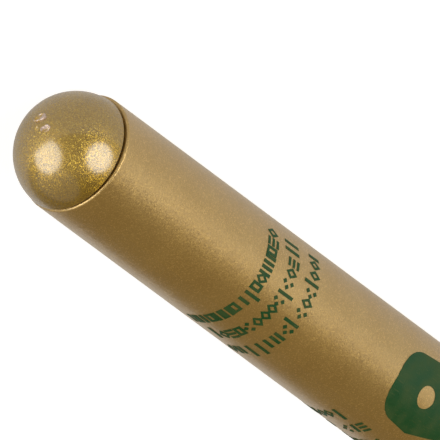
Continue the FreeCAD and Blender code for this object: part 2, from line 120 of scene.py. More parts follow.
class PrintSizes(bpy.types.PropertyGroup):
    """Pad print on the barrel. Stations are measured from the barrel's rear rim."""
    rear_radius: length("Rear radius", "Outside radius of the barrel at its rear rim", 5.50 * MM)
    taper: length("Taper length", "Length over which the barrel grows to its full radius", 72 * MM)
    ink: length("Ink", "Thickness of the printed ink", 0.018 * MM)
    facing: angle("Facing", "Side of the barrel that the print faces, from +Y towards +Z", 44)
    mark_height: length("Mark height", "Height of a low mark in the small print", 1.42 * MM)
    advance: length("Advance", "Mean distance from one small mark to the next", 0.90 * MM)
    lines: count("Lines", "Lines in a block of small print", 3)
    gaps: amount("Gaps", "Share of the small marks that are left out", 0.05)
    block_marks: count("Block marks", "Marks in a line of the first block", 15)
    first_line: length("First line", "Station of the first block's first line", 20.05 * MM)
    line_pitch: length("Line pitch", "Distance between lines of small print", 3.05 * MM)
    block_start: angle("Block start", "Side where the first block starts", -6)
    side_marks: count("Side block marks", "Marks in a line of the second block", 9)
    side_first: length("Side block", "Station of the second block's first line", 38.9 * MM)
    side_start: angle("Side block start", "Side where the second block starts", 103)
    emblem_station: length("Emblem", "Station of the nib emblem's square end", 40.6 * MM)
    emblem_width: length("Emblem width", "Width of the nib emblem", 7.0 * MM)
    emblem_length: length("Emblem length", "Length of the nib emblem", 14.5 * MM)
    wave_station: length("Wave", "Station where the stroke sample starts", 59.6 * MM)
    wave_length: length("Wave length", "Length of one wave of the stroke sample", 5.6 * MM)
    wave_height: length("Wave height", "Height of the stroke sample's wave", 0.80 * MM)
    stroke: length("Stroke", "Width of the broad stroke in the sample", 2.2 * MM)


class StudioSettings(bpy.types.PropertyGroup):
    """Camera, lights and floor."""
    sight: angle("Sight", "Angle between the marker's axis and the line of sight", 47)
    roll: angle("Side", "Side of the marker above the picture's axis line", -35)
    lean: angle("Lean", "How far the marker's axis leans down to the right", 36.73)
    distance: length("Distance", "From the camera to the middle of the picture", 0.85)
    width: length("Width", "Width of what the picture shows", 36.97 * MM)
    right: length("Right", "From the rear rim's centre to the picture's middle", 12.12 * MM)
    down: length("Down", "From the rear rim's centre down to the picture's middle", 5.65 * MM)
    key: amount("Key", "Radiance of the large softbox", 3.4)
    second: amount("Second", "Radiance of the softbox behind the dome", 3.0)
    low: amount("Low", "Radiance of the weak panel that fills the shaded side", 0.24)
    panel: amount("Panel", "Radiance of the dim panel ahead of the marker", 0.69)
    room: amount("Room", "Brightness of the room", 0.30)
    floor: amount("Floor", "Reflectance of the floor", 0.48)


# ---- nodes ----------------------------------------------------------------------------------
def add(tree, kind, inputs=None, **attributes):
    """Adds a node. An input given as a socket is linked, and any other value is set."""
    node = tree.nodes.new(kind)
    for name, value in attributes.items():
        setattr(node, name, value)
    for key, value in (inputs or {}).items():
        if isinstance(value, bpy.types.NodeSocket):
            tree.links.new(value, node.inputs[key])
        else:
            node.inputs[key].default_value = value
    return node


def maths(tree, operation, first, second=0.0, third=0.0):
    inputs = {0: first, 1: second, 2: third}
    return add(tree, "ShaderNodeMath", inputs, operation=operation).outputs[0]


def spread(tree, value, low, high, out_low=0.0, out_high=1.0):
    inputs = {"Value": value, "From Min": low, "From Max": high, "To Min": out_low, "To Max": out_high}
    return add(tree, "ShaderNodeMapRange", inputs, interpolation_type="SMOOTHSTEP").outputs[0]


def blend_colours(tree, factor, first, second):
    node = add(tree, "ShaderNodeMix", {0: factor}, data_type="RGBA")
    for socket, value in ((node.inputs[6], first), (node.inputs[7], second)):
        if isinstance(value, bpy.types.NodeSocket):
            tree.links.new(value, socket)
        else:
            socket.default_value = (*value, 1)
    return node.outputs[2]


def effect(name, inputs, outputs):
    """Starts a shader node group and returns it with its input and output nodes."""
    group = bpy.data.node_groups.new(name, "ShaderNodeTree")
    for title, kind, default in inputs:
        socket = group.interface.new_socket(title, in_out="INPUT", socket_type=kind)
        if default is not None:
            socket.default_value = default
    for title, kind in outputs:
        group.interface.new_socket(title, in_out="OUTPUT", socket_type=kind)
    return group, group.nodes.new("NodeGroupInput").outputs, group.nodes.new("NodeGroupOutput").inputs


def scaled(group, vector, size):
    """Coordinates in which one unit is the given size."""
    per_metre = maths(group, "DIVIDE", 1.0, size)
    inputs = {0: vector, "Scale": per_metre}
    return add(group, "ShaderNodeVectorMath", inputs, operation="SCALE").outputs[0]


def build_flake_grain():
    """Flat flakes under a clear skin, each one turned its own small way from the surface. Also gives a mask
    that picks a random share of flakes for colour painted on as glints.
    """
    group, given, result = effect(
        "flake_grain",
        [("Vector", "NodeSocketVector", None), ("Flake", "NodeSocketFloat", 0.0001),
         ("Share", "NodeSocketFloat", 0.2), ("Tilt", "NodeSocketFloat", 0.3)],
        [("Painted glint", "NodeSocketFloat"), ("Tone", "NodeSocketFloat"), ("Normal", "NodeSocketVector")])
    place = scaled(group, given["Vector"], given["Flake"])
    cells = add(group, "ShaderNodeTexVoronoi", {"Vector": place, "Scale": 1.0, "Randomness": 1.0})
    parts = add(group, "ShaderNodeSeparateColor", {0: cells.outputs["Color"]}).outputs
    floor = maths(group, "SUBTRACT", 1.0, given["Share"])
    # painted glint mask: a random share of flakes, the same under any light
    painted_glint_mask = spread(group, parts[0], floor, 1.0)
    middle = {0: cells.outputs["Color"], 1: (0.5, 0.5, 0.5)}
    aside = add(group, "ShaderNodeVectorMath", middle, operation="SUBTRACT")
    turn = {0: aside.outputs[0], "Scale": given["Tilt"]}
    tilt = add(group, "ShaderNodeVectorMath", turn, operation="SCALE")
    surface = add(group, "ShaderNodeNewGeometry").outputs["Normal"]
    turned = add(group, "ShaderNodeVectorMath", {0: surface, 1: tilt.outputs[0]}, operation="ADD")
    normal = add(group, "ShaderNodeVectorMath", {0: turned.outputs[0]}, operation="NORMALIZE")
    for name, value in (("Painted glint", painted_glint_mask), ("Tone", parts[1]), ("Normal", normal.outputs[0])):
        group.links.new(value, result[name])
    return group


def build_moulded_skin():
    """The faint orange peel and slow clouding of an injection-moulded surface."""
    group, given, result = effect(
        "moulded_skin",
        [("Vector", "NodeSocketVector", None), ("Grain", "NodeSocketFloat", 0.0003),
         ("Cloud", "NodeSocketFloat", 0.006)],
        [("Height", "NodeSocketFloat"), ("Clouding", "NodeSocketFloat")])
    fine = add(group, "ShaderNodeTexNoise", {
        "Vector": scaled(group, given["Vector"], given["Grain"]), "Scale": 1.0, "Detail": 3.0})
    slow = add(group, "ShaderNodeTexNoise", {
        "Vector": scaled(group, given["Vector"], given["Cloud"]), "Scale": 1.0, "Detail": 2.0})
    group.links.new(fine.outputs[0], result["Height"])
    group.links.new(spread(group, slow.outputs[0], 0.3, 0.7), result["Clouding"])
    return group


def build_handling_marks():
    """Hairline scuffs and dull patches left by handling."""
    group, given, result = effect(
        "handling_marks",
        [("Vector", "NodeSocketVector", None), ("Amount", "NodeSocketFloat", 0.3)],
        [("Scuff", "NodeSocketFloat"), ("Smear", "NodeSocketFloat")])
    scuffs = []
    for turn, stretch in ((0.5, (900, 14000, 14000)), (-0.9, (12000, 700, 9000))):
        turned = add(group, "ShaderNodeMapping", {
            "Vector": given["Vector"], "Rotation": (turn, turn, turn), "Scale": stretch})
        hairs = add(group, "ShaderNodeTexNoise", {"Vector": turned.outputs[0], "Scale": 1.0, "Detail": 1.0})
        scuffs.append(spread(group, hairs.outputs[0], 0.68, 0.76))
    smear = add(group, "ShaderNodeTexNoise", {"Vector": given["Vector"], "Scale": 160.0, "Detail": 4.0})
    both = maths(group, "MAXIMUM", *scuffs)
    group.links.new(maths(group, "MULTIPLY", both, given["Amount"]), result["Scuff"])
    patches = spread(group, smear.outputs[0], 0.42, 0.68)
    group.links.new(maths(group, "MULTIPLY", patches, given["Amount"]), result["Smear"])
    return group


def build_fibre_bundle():
    """Fine parallel fibres that run along the marker."""
    group, given, result = effect(
        "fibre_bundle",
        [("Vector", "NodeSocketVector", None), ("Fibre", "NodeSocketFloat", 0.00006)],
        [("Strand", "NodeSocketFloat"), ("Height", "NodeSocketFloat")])
    stretched = add(group, "ShaderNodeMapping", {
        "Vector": scaled(group, given["Vector"], given["Fibre"]), "Scale": (0.035, 1, 1)})
    strands = add(group, "ShaderNodeTexVoronoi", {"Vector": stretched.outputs[0], "Scale": 1.0})
    tone = add(group, "ShaderNodeSeparateColor", {0: strands.outputs["Color"]}).outputs[0]
    loose = add(group, "ShaderNodeTexNoise", {"Vector": stretched.outputs[0], "Scale": 0.35, "Detail": 4.0})
    group.links.new(tone, result["Strand"])
    height = maths(group, "SUBTRACT", loose.outputs[0], strands.outputs["Distance"])
    group.links.new(height, result["Height"])
    return group


EFFECTS = {
    "flake_grain": build_flake_grain,
    "moulded_skin": build_moulded_skin,
    "handling_marks": build_handling_marks,
    "fibre_bundle": build_fibre_bundle,
}


def use(tree, name, **values):
    """Places one of the shared effects in a material."""
    group = bpy.data.node_groups.get(name) or EFFECTS[name]()
    node = add(tree, "ShaderNodeGroup", node_tree=group)
    tree.links.new(add(tree, "ShaderNodeTexCoord").outputs["Object"], node.inputs["Vector"])
    for title, value in values.items():
        node.inputs[title].default_value = value
    return node.outputs


def material(name, **constants):
    """A material with one Principled shader, whose constant sockets are set by name."""
    made = bpy.data.materials.new(name)
    made.use_nodes = True
    tree = made.node_tree
    tree.nodes.clear()
    shader = add(tree, "ShaderNodeBsdfPrincipled")
    add(tree, "ShaderNodeOutputMaterial", {0: shader.outputs[0]})
    for title, value in constants.items():
        shader.inputs[title.replace("_", " ")].default_value = value
    return made, tree, shader


def bump(tree, shader, height, strength, depth, normal=None):
    """Feeds the shader's normal with a bump of a height, over another normal if there is one."""
    node = add(tree, "ShaderNodeBump", {"Height": height, "Strength": strength, "Distance": depth})
    if normal:
        tree.links.new(normal, node.inputs["Normal"])
    tree.links.new(node.outputs[0], shader.inputs["Normal"])


def feed(tree, shader, **sources):
    """Links values that change over the surface to the shader's sockets by name."""
    for title, socket in sources.items():
        tree.links.new(socket, shader.inputs[title.replace("_", " ")])


def pearl_gold():
    """Satin barrel: fine pearl flake in a slightly rough skin, a little deeper where it clouds, and a paler
    painted glint on a random share of flakes.
    """
    tones = bpy.context.scene.marker_colours
    made, tree, shader = material(
        "pearl_gold", Metallic=0.82, Coat_Weight=1.0, Coat_Roughness=0.34, Coat_IOR=1.70)
    grain = use(tree, "flake_grain", Flake=0.00008, Share=0.30, Tilt=0.25)
    skin = use(tree, "moulded_skin", Grain=0.0002, Cloud=0.006)
    marks = use(tree, "handling_marks", Amount=0.4)
    base = blend_colours(tree, skin["Clouding"], tones.barrel, tones.barrel_shade)
    # painted glint: a paler copy of the barrel gold, laid on a random share of flakes
    pale = tuple(min(1.0, 1.45 * channel + 0.03) for channel in tones.barrel)
    with_painted_glints = blend_colours(tree, maths(tree, "MULTIPLY", grain["Painted glint"], 0.85), base, pale)
    rough = spread(tree, marks["Smear"], 0.0, 0.5, 0.38, 0.44)
    feed(tree, shader, Base_Color=with_painted_glints, Roughness=rough)
    bump(tree, shader, skin["Height"], 0.10, 0.00003, grain["Normal"])
    return made


def flake_gold():
    """Glossy moulding: coarse gold flake under a clear skin, with a paler painted glint on a random share
    of flakes.
    """
    tones = bpy.context.scene.marker_colours
    made, tree, shader = material(
        "flake_gold", Metallic=0.88, Coat_Weight=1.0, Coat_Roughness=0.20, Coat_IOR=2.0)
    grain = use(tree, "flake_grain", Flake=0.000065, Share=0.28, Tilt=0.54)
    skin = use(tree, "moulded_skin", Grain=0.0005, Cloud=0.003)
    marks = use(tree, "handling_marks", Amount=0.3)
    deep = tuple(0.58 * channel for channel in tones.flake)
    base = blend_colours(tree, grain["Tone"], deep, tones.flake)
    # painted glint: the glint colour laid on a random share of flakes
    with_painted_glints = blend_colours(tree, maths(tree, "MULTIPLY", grain["Painted glint"], 0.60), base, tones.painted_flake_glint)
    rough = maths(tree, "ADD", spread(tree, skin["Clouding"], 0.0, 1.0, 0.38, 0.44),
                  maths(tree, "MULTIPLY", marks["Scuff"], 0.3))
    feed(tree, shader, Base_Color=with_painted_glints, Roughness=rough)
    bump(tree, shader, skin["Height"], 0.06, 0.00003, grain["Normal"])
    return made


def torn_gold_painted_reflection():
    """Gold moulding where a gate was torn off: smooth and shiny, and paler from a pinkish-white painted
    reflection mixed in unevenly with the skin's clouding.
    """
    tones = bpy.context.scene.marker_colours
    made, tree, shader = material(
        "torn_gold_painted_reflection", Metallic=0.35, Coat_Weight=1.0, Coat_Roughness=0.12, Coat_IOR=1.8)
    grain = use(tree, "flake_grain", Flake=0.00016, Share=0.3, Tilt=0.25)
    skin = use(tree, "moulded_skin", Grain=0.00015, Cloud=0.0006)
    # painted reflection: pinkish white added to the flake colour, standing for the white room seen in the
    # stub's facets
    pale = tuple(0.3 * channel + painted_reflection_white for channel, painted_reflection_white in zip(tones.flake, (0.36, 0.27, 0.25)))
    base = blend_colours(tree, spread(tree, skin["Clouding"], 0.0, 0.5), tones.flake, pale)
    rough = spread(tree, skin["Clouding"], 0.0, 1.0, 0.45, 0.30)
    feed(tree, shader, Base_Color=base, Roughness=rough)
    bump(tree, shader, skin["Height"], 0.5, 0.00005, grain["Normal"])
    return made


def print_ink():
    """Pad-printed green ink: nearly matt, slightly thin in places."""
    tones = bpy.context.scene.marker_colours
    made, tree, shader = material("print_ink", Metallic=0.0, IOR=1.38)
    skin = use(tree, "moulded_skin", Grain=0.00012, Cloud=0.0016)
    marks = use(tree, "handling_marks", Amount=0.6)
    thin = blend_colours(tree, 0.25, tones.print_green, tones.barrel)
    base = blend_colours(tree, maths(tree, "MULTIPLY", skin["Clouding"], 0.18), tones.print_green, thin)
    worn = blend_colours(tree, maths(tree, "MULTIPLY", marks["Scuff"], 0.15), base, tones.barrel)
    rough = spread(tree, skin["Clouding"], 0.0, 1.0, 0.50, 0.62)
    feed(tree, shader, Base_Color=worn, Roughness=rough)
    bump(tree, shader, skin["Height"], 0.25, 0.00003)
    return made


def section_black():
    """Fine satin black moulding, polished a little where fingers hold it."""
    tones = bpy.context.scene.marker_colours
    made, tree, shader = material("section_black", Metallic=0.0, Coat_Weight=0.15, Coat_Roughness=0.3)
    skin = use(tree, "moulded_skin", Grain=0.00014, Cloud=0.003)
    marks = use(tree, "handling_marks", Amount=0.6)
    grey = tuple(channel * 2.4 + 0.01 for channel in tones.section)
    base = blend_colours(tree, maths(tree, "MULTIPLY", marks["Scuff"], 0.6), tones.section, grey)
    rough = maths(tree, "SUBTRACT", spread(tree, skin["Clouding"], 0, 1, 0.40, 0.48),
                  maths(tree, "MULTIPLY", marks["Smear"], 0.2))
    feed(tree, shader, Base_Color=base, Roughness=rough)
    bump(tree, shader, skin["Height"], 0.35, 0.00004)
    return made


def soaked_fibre(name, tone, depth, wet=None):
    """Bonded fibres along the marker, unevenly soaked with ink. Wet is the stretch that ink darkens."""
    made, tree, shader = material(name, Metallic=0.0, Sheen_Weight=0.35, Sheen_Roughness=0.6)
    bundle = use(tree, "fibre_bundle", Fibre=0.00009)
    skin = use(tree, "moulded_skin", Grain=0.0002, Cloud=0.0018)
    dark = tuple(depth * channel for channel in tone)
    strands = blend_colours(tree, bundle["Strand"], dark, tone)
    base = blend_colours(tree, maths(tree, "MULTIPLY", skin["Clouding"], 0.4), strands, dark)
    if wet:
        place = add(tree, "ShaderNodeTexCoord").outputs["Object"]
        along = add(tree, "ShaderNodeSeparateXYZ", {0: place}).outputs[0]
        uneven = maths(tree, "MULTIPLY_ADD", bundle["Strand"], 0.4 * MM, along)
        inked = spread(tree, uneven, wet[0], wet[1], 0.0, 0.85)
        base = blend_colours(tree, inked, base, tuple(bpy.context.scene.marker_colours.ink))
    rough = spread(tree, skin["Clouding"], 0.0, 1.0, 0.95, 0.70)
    feed(tree, shader, Base_Color=base, Roughness=rough)
    bump(tree, shader, bundle["Height"], 0.6, 0.00008)
    return made


def clear_film():
    """Thin clear wrap with fine draw lines."""
    made, tree, shader = material(
        "clear_film", Metallic=0.0, IOR=1.49, Transmission_Weight=0.9, Coat_Weight=0.3)
    bundle = use(tree, "fibre_bundle", Fibre=0.0004)
    skin = use(tree, "moulded_skin", Grain=0.0006, Cloud=0.004)
    base = blend_colours(tree, skin["Clouding"], (0.93, 0.95, 0.94), (0.84, 0.88, 0.86))
    rough = spread(tree, bundle["Strand"], 0.0, 1.0, 0.12, 0.22)
    feed(tree, shader, Base_Color=base, Roughness=rough)
    bump(tree, shader, skin["Height"], 0.2, 0.00002)
    return made


def natural_seal():
    """Milky polyethylene of the inner cap."""
    tones = bpy.context.scene.marker_colours
    made, tree, shader = material(
        "natural_seal", Metallic=0.0, Subsurface_Weight=0.3, Subsurface_Scale=0.0008)
    skin = use(tree, "moulded_skin", Grain=0.0003, Cloud=0.0025)
    marks = use(tree, "handling_marks", Amount=0.3)
    cloudy = tuple(0.9 * channel for channel in tones.seal)
    base = blend_colours(tree, skin["Clouding"], tones.seal, cloudy)
    rough = spread(tree, marks["Smear"], 0.0, 0.3, 0.38, 0.48)
    feed(tree, shader, Base_Color=base, Roughness=rough)
    bump(tree, shader, skin["Height"], 0.2, 0.00004)
    return made


def nib_felt():
    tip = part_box("nib")[1].x
    felt = tuple(bpy.context.scene.marker_colours.fibre)
    return soaked_fibre("nib_felt", felt, 0.62, wet=(tip - 4.0 * MM, tip - 0.6 * MM))


def reservoir_fibre():
    return soaked_fibre("reservoir_fibre", tuple(bpy.context.scene.marker_colours.ink), 0.55)


FINISHES = {
    "barrel_gold": pearl_gold, "plug_gold": flake_gold, "cap_gold": flake_gold, "print_green": print_ink,
    "section_black": section_black, "nib_fibre": nib_felt, "ink_fibre": reservoir_fibre,
    "clear_film": clear_film, "seal_white": natural_seal,
}
made_finishes = {}


def finish(slot):
    """The material that stands for one of the record's material slots."""
    maker = FINISHES[slot]
    if maker not in made_finishes:
        made_finishes[maker] = maker()
    return made_finishes[maker]


def dress(*nodes):
    """Gives moulded parts from the frame their finish."""
    slots = {part["node"]: part["material_slot"] for part in frame["record"]["subparts"]}
    for name in nodes:
        for slot in frame["nodes"][name].material_slots:
            slot.material = finish(slots[name])


# ---- pad print ------------------------------------------------------------------------------
def barrel_radius(station):
    sizes = bpy.context.scene.marker_print
    share = min(max(station / sizes.taper, 0.0), 1.0)
    return sizes.rear_radius + (FRONT_RADIUS - sizes.rear_radius) * share


def wrap(flat, facing):
    """Carries a flat point (station, distance round, height) on to the barrel."""
    radius = barrel_radius(flat.x)
    turn = facing + flat.y / radius
    out = radius + flat.z
    return Vector((RIM_X + flat.x, out * math.cos(turn), AXIS_Z + out * math.sin(turn)))


def link(name, mesh):
    piece = bpy.data.objects.new(name, mesh)
    bpy.context.scene.collection.objects.link(piece)
    return piece


def prism(bm, outline, low, high):
    """A closed slab over an outline of (x, y) points."""
    bottom = [bm.verts.new((x, y, low)) for x, y in outline]
    top = [bm.verts.new((x, y, high)) for x, y in outline]
    bm.faces.new(top)
    bm.faces.new(bottom[::-1])
    for i in range(len(outline)):
        j = (i + 1) % len(outline)
        bm.faces.new((bottom[i], bottom[j], top[j], top[i]))


def ring_prism(bm, outer, inner, low, high):
    """A closed frame between two outlines with the same number of points."""
    corners = [[bm.verts.new((x, y, z)) for x, y in line] for z in (low, high) for line in (outer, inner)]
    outer_low, inner_low, outer_high, inner_high = corners
    for i in range(len(outer)):
        j = (i + 1) % len(outer)
        bm.faces.new((outer_high[i], outer_high[j], inner_high[j], inner_high[i]))
        bm.faces.new((inner_low[i], inner_low[j], outer_low[j], outer_low[i]))
        bm.faces.new((outer_low[i], outer_low[j], outer_high[j], outer_high[i]))
        bm.faces.new((inner_high[i], inner_high[j], inner_low[j], inner_low[i]))


def box_outline(x0, x1, y0, y1):
    return [(x0, y0), (x1, y0), (x1, y1), (x0, y1)]


def lozenge(x, y, half_x, half_y):
    return [(x - half_x, y), (x, y - half_y), (x + half_x, y), (x, y + half_y)]


def small_marks():
    """The kinds of abstract mark in the small print, in units of a low mark's height."""
    stroke, width, side = 0.22, 0.56, 0.18
    tall, drop = 1.42, -0.38
    kinds = {
        "bar": [box_outline(0, 1, side, side + stroke)],
        "tall_bar": [box_outline(0, tall, side, side + stroke)],
        "drop_bar": [box_outline(drop, 1, side, side + stroke)],
        "pair": [box_outline(0, 1, 0, stroke), box_outline(0, 1, 0.36, 0.36 + stroke)],
        "steps": [box_outline(x, x + stroke, 0, width) for x in (0, 0.42, 0.84)],
        "dots": [lozenge(x, y, 0.19, 0.17) for x, y in ((0.16, 0.15), (0.84, 0.15), (0.5, 0.44))],
    }
    hollow = {
        "block": (box_outline(0, 0.96, 0, width), box_outline(0.20, 0.76, 0.19, 0.37)),
        "hollow_lozenge": (lozenge(0.5, 0.28, 0.54, 0.34), lozenge(0.5, 0.28, 0.25, 0.14)),
    }
    holder = bpy.data.collections.new("small_marks")
    for name, outlines in kinds.items():
        bm = bmesh.new()
        for outline in outlines:
            prism(bm, outline, SUNK, 1.0)
        holder.objects.link(mark_object(name, bm))
    for name, (outline, hole) in hollow.items():
        bm = bmesh.new()
        ring_prism(bm, outline, hole, SUNK, 1.0)
        holder.objects.link(mark_object(name, bm))
    return holder


def cut_across(bm, places, nearness=0.0):
    """Cuts a flat shape across at each place, so that it can bend round the barrel."""
    for place in places:
        everything = bm.verts[:] + bm.edges[:] + bm.faces[:]
        bmesh.ops.bisect_plane(
            bm, geom=everything, dist=nearness, plane_co=(0, place, 0), plane_no=(0, 1, 0))


def mark_object(name, bm):
    """Keeps one mark as an object that the geometry nodes can place."""
    cut_across(bm, MARK_CUTS, nearness=1e-4)
    mesh = bpy.data.meshes.new("mark_" + name)
    bmesh.ops.recalc_face_normals(bm, faces=bm.faces)
    bm.to_mesh(mesh)
    bm.free()
    return bpy.data.objects.new("mark_" + name, mesh)


def build_line_tree():
    """Geometry nodes that set lines of marks out flat and wrap them round the barrel."""
    tree = bpy.data.node_groups.new("small_print", "GeometryNodeTree")
    tree.is_modifier = True
    sockets = {
        "Lines": "Int", "Marks": "Int", "First station": "Float", "Line pitch": "Float", "Start": "Float",
        "Advance": "Float", "Mark height": "Float", "Ink": "Float", "Gaps": "Float", "Seed": "Int",
        "Rear radius": "Float", "Growth": "Float", "Rim": "Float", "Axis height": "Float",
        "Marks from": "Collection", "Ink material": "Material",
    }
    for title, kind in sockets.items():
        tree.interface.new_socket(title, in_out="INPUT", socket_type="NodeSocket" + kind)
    tree.interface.new_socket("Geometry", in_out="OUTPUT", socket_type="NodeSocketGeometry")
    given = tree.nodes.new("NodeGroupInput").outputs

    def random(low, high, identity, seed_step, kind="FLOAT"):
        node = add(tree, "FunctionNodeRandomValue", data_type=kind)
        pick = {"FLOAT": (2, 3), "INT": (4, 5)}[kind]
        for index, value in zip(pick, (low, high)):
            node.inputs[index].default_value = value
        tree.links.new(identity, node.inputs["ID"])
        tree.links.new(maths(tree, "ADD", given["Seed"], seed_step), node.inputs["Seed"])
        return node.outputs[1 if kind == "FLOAT" else 2]

    index = add(tree, "GeometryNodeInputIndex").outputs[0]
    total = maths(tree, "MULTIPLY", given["Lines"], given["Marks"])
    row = maths(tree, "FLOOR", maths(tree, "DIVIDE", index, given["Marks"]))
    width = random(0.8, 1.2, index, 1)
    run = add(tree, "GeometryNodeAccumulateField", {"Value": width, "Group ID": row}, data_type="FLOAT")
    start = random(-0.5, 0.5, row, 2)
    across = maths(tree, "MULTIPLY", maths(tree, "ADD", run.outputs["Trailing"], start), given["Advance"])
    station = maths(tree, "MULTIPLY_ADD", row, given["Line pitch"], given["First station"])
    flat = add(tree, "ShaderNodeCombineXYZ", {0: station, 1: across}).outputs[0]
    line = add(tree, "GeometryNodeMeshLine", {"Count": total}, mode="OFFSET")
    spots = add(tree, "GeometryNodeSetPosition", {"Geometry": line.outputs[0], "Position": flat})
    shapes = add(tree, "GeometryNodeCollectionInfo", {
        "Collection": given["Marks from"], "Separate Children": True, "Reset Children": True})
    kept = maths(tree, "GREATER_THAN", random(0.0, 1.0, index, 3), given["Gaps"])
    height = given["Mark height"]
    size = add(tree, "ShaderNodeCombineXYZ", {0: height, 1: height, 2: given["Ink"]})
    kind = random(0, MARK_KINDS - 1, index, 4, "INT")
    placed = add(tree, "GeometryNodeInstanceOnPoints", {
        "Points": spots.outputs[0], "Selection": kept, "Instance": shapes.outputs[0],
        "Pick Instance": True, "Instance Index": kind, "Scale": size.outputs[0]})
    solid = add(tree, "GeometryNodeRealizeInstances", {"Geometry": placed.outputs[0]})
    spot = add(tree, "GeometryNodeInputPosition").outputs[0]
    place = add(tree, "ShaderNodeSeparateXYZ", {0: spot}).outputs
    radius = maths(tree, "MULTIPLY_ADD", place[0], given["Growth"], given["Rear radius"])
    turn = maths(tree, "ADD", given["Start"], maths(tree, "DIVIDE", place[1], radius))
    out = maths(tree, "ADD", radius, place[2])
    wrapped = add(tree, "ShaderNodeCombineXYZ", {
        0: maths(tree, "ADD", place[0], given["Rim"]),
        1: maths(tree, "MULTIPLY", out, maths(tree, "COSINE", turn)),
        2: maths(tree, "MULTIPLY_ADD", out, maths(tree, "SINE", turn), given["Axis height"])})
    bent = add(tree, "GeometryNodeSetPosition", {
        "Geometry": solid.outputs[0], "Position": wrapped.outputs[0]})
    outward = add(tree, "GeometryNodeFlipFaces", {"Mesh": bent.outputs[0]})
    inked = add(tree, "GeometryNodeSetMaterial", {
        "Geometry": outward.outputs[0], "Material": given["Ink material"]})
    add(tree, "NodeGroupOutput", {0: inked.outputs[0]})
    return tree


def grow(name, tree, values):
    """Runs a geometry tree with named inputs and keeps its result as a plain mesh piece."""
    holder = link(name, bpy.data.meshes.new(name + "_start"))
    modifier = holder.modifiers.new(tree.name, "NODES")
    modifier.node_group = tree
    for item in tree.interface.items_tree:
        if item.item_type == "SOCKET" and item.in_out == "INPUT":
            modifier[item.identifier] = values[item.name]
    holder.update_tag()
    graph = bpy.context.evaluated_depsgraph_get()
    mesh = bpy.data.meshes.new_from_object(holder.evaluated_get(graph), depsgraph=graph)
    holder.modifiers.remove(modifier)
    mesh.name = name
    holder.data = mesh
    if not mesh.polygons:
        raise RuntimeError(f"{name} came out empty")
    return holder


def print_block(name, marks, first, start, seed):
    """One block of small print, from the station of its first line and the side where it starts."""
    sizes = bpy.context.scene.marker_print
    tree = bpy.data.node_groups.get("small_print") or build_line_tree()
    holder = bpy.data.collections.get("small_marks") or small_marks()
    growth = (FRONT_RADIUS - sizes.rear_radius) / sizes.taper
    piece = grow(name, tree, {
        "Lines": sizes.lines, "Marks": marks, "First station": first, "Line pitch": sizes.line_pitch,
        "Start": start, "Advance": sizes.advance, "Mark height": sizes.mark_height, "Ink": sizes.ink,
        "Gaps": sizes.gaps, "Seed": seed, "Rear radius": sizes.rear_radius, "Growth": growth, "Rim": RIM_X,
        "Axis height": AXIS_Z, "Marks from": holder, "Ink material": finish("print_green"),
    })
    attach(piece, "pen")


def arc(x, y, radius, start, end, steps):
    """Points on an arc, from one angle to another in degrees."""
    angles = [math.radians(start + (end - start) * i / steps) for i in range(steps + 1)]
    return [(x + radius * math.cos(a), y + radius * math.sin(a)) for a in angles]


def printed_shape(name, outlines, station):
    """A flat outline, with any holes after it, wrapped on to the barrel at a station."""
    sizes = bpy.context.scene.marker_print
    bm = bmesh.new()
    loops = [[Vector((x, y, 0)) for x, y in line] for line in outlines]
    verts = [bm.verts.new(point) for loop in loops for point in loop]
    for triangle in tessellate_polygon(loops):
        bm.faces.new([verts[i] for i in triangle])
    low = min(vert.co.y for vert in bm.verts)
    high = max(vert.co.y for vert in bm.verts)
    step = 0.35 * MM
    cut_across(bm, [low + step * i for i in range(1, int((high - low) / step) + 1)])
    bmesh.ops.recalc_face_normals(bm, faces=bm.faces)
    if bm.faces[:][0].normal.z < 0:
        bmesh.ops.reverse_faces(bm, faces=bm.faces)
    wall = bmesh.ops.extrude_face_region(bm, geom=bm.faces[:])
    for vert in bm.verts:
        vert.co.z = SUNK * sizes.ink
    for vert in (item for item in wall["geom"] if isinstance(item, bmesh.types.BMVert)):
        vert.co.z = sizes.ink
    for vert in bm.verts:
        vert.co = wrap(vert.co + Vector((station, 0, 0)), sizes.facing)
    bmesh.ops.remove_doubles(bm, verts=bm.verts, dist=SAME_PLACE)
    bmesh.ops.recalc_face_normals(bm, faces=bm.faces)
    mesh = bpy.data.meshes.new(name)
    bm.to_mesh(mesh)
    bm.free()
    mesh.materials.append(finish("print_green"))
    piece = link(name, mesh)
    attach(piece, "pen")


def nib_emblem():
    """A plain broad-nib sign: square shoulders, a round vent and a slit up to the point."""
    sizes = bpy.context.scene.marker_print
    half, reach = sizes.emblem_width / 2, sizes.emblem_length
    corner, shoulder = 3.0 * MM, 0.36 * reach
    slit, slit_end, tip = 0.20 * MM, shoulder + 2.2 * MM, 1.6       # tip in half widths of the slit
    vent, vent_place, vent_sides = 1.05 * MM, shoulder - 0.9 * MM, 24
    fullness, pinch, steps = 0.85, 0.1, 10
    side = arc(corner, half - corner, corner, 180, 90, 8)
    sweep = [(shoulder + (reach - shoulder) * t, half * (1 - t) ** fullness * (1 - pinch * t) + slit)
             for t in (i / steps for i in range(steps))]
    edge = side + sweep + [(reach, slit * tip), (reach, slit), (slit_end, slit)]
    mirrored = [(x, -y) for x, y in edge[::-1]]
    hole = arc(vent_place, 0, vent, 0, 360 - 360 // vent_sides, vent_sides - 1)
    printed_shape("nib_emblem", [edge + mirrored, hole], sizes.emblem_station)


def stroke_wave():
    """A sample of the broad stroke: a wave drawn with a slanted edge, thick and thin in turn."""
    sizes = bpy.context.scene.marker_print
    waves, steps = 2, 28
    half = sizes.stroke / 2 * math.sqrt(0.5)
    middle = []
    for i in range(waves * steps + 1):
        along = sizes.wave_length * i / steps
        middle.append((along, sizes.wave_height * math.sin(2 * math.pi * i / steps)))
    upper = [(x - half, y + half) for x, y in middle]
    lower = [(x + half, y - half) for x, y in middle]
    printed_shape("stroke_wave", [lower + upper[::-1]], sizes.wave_station)


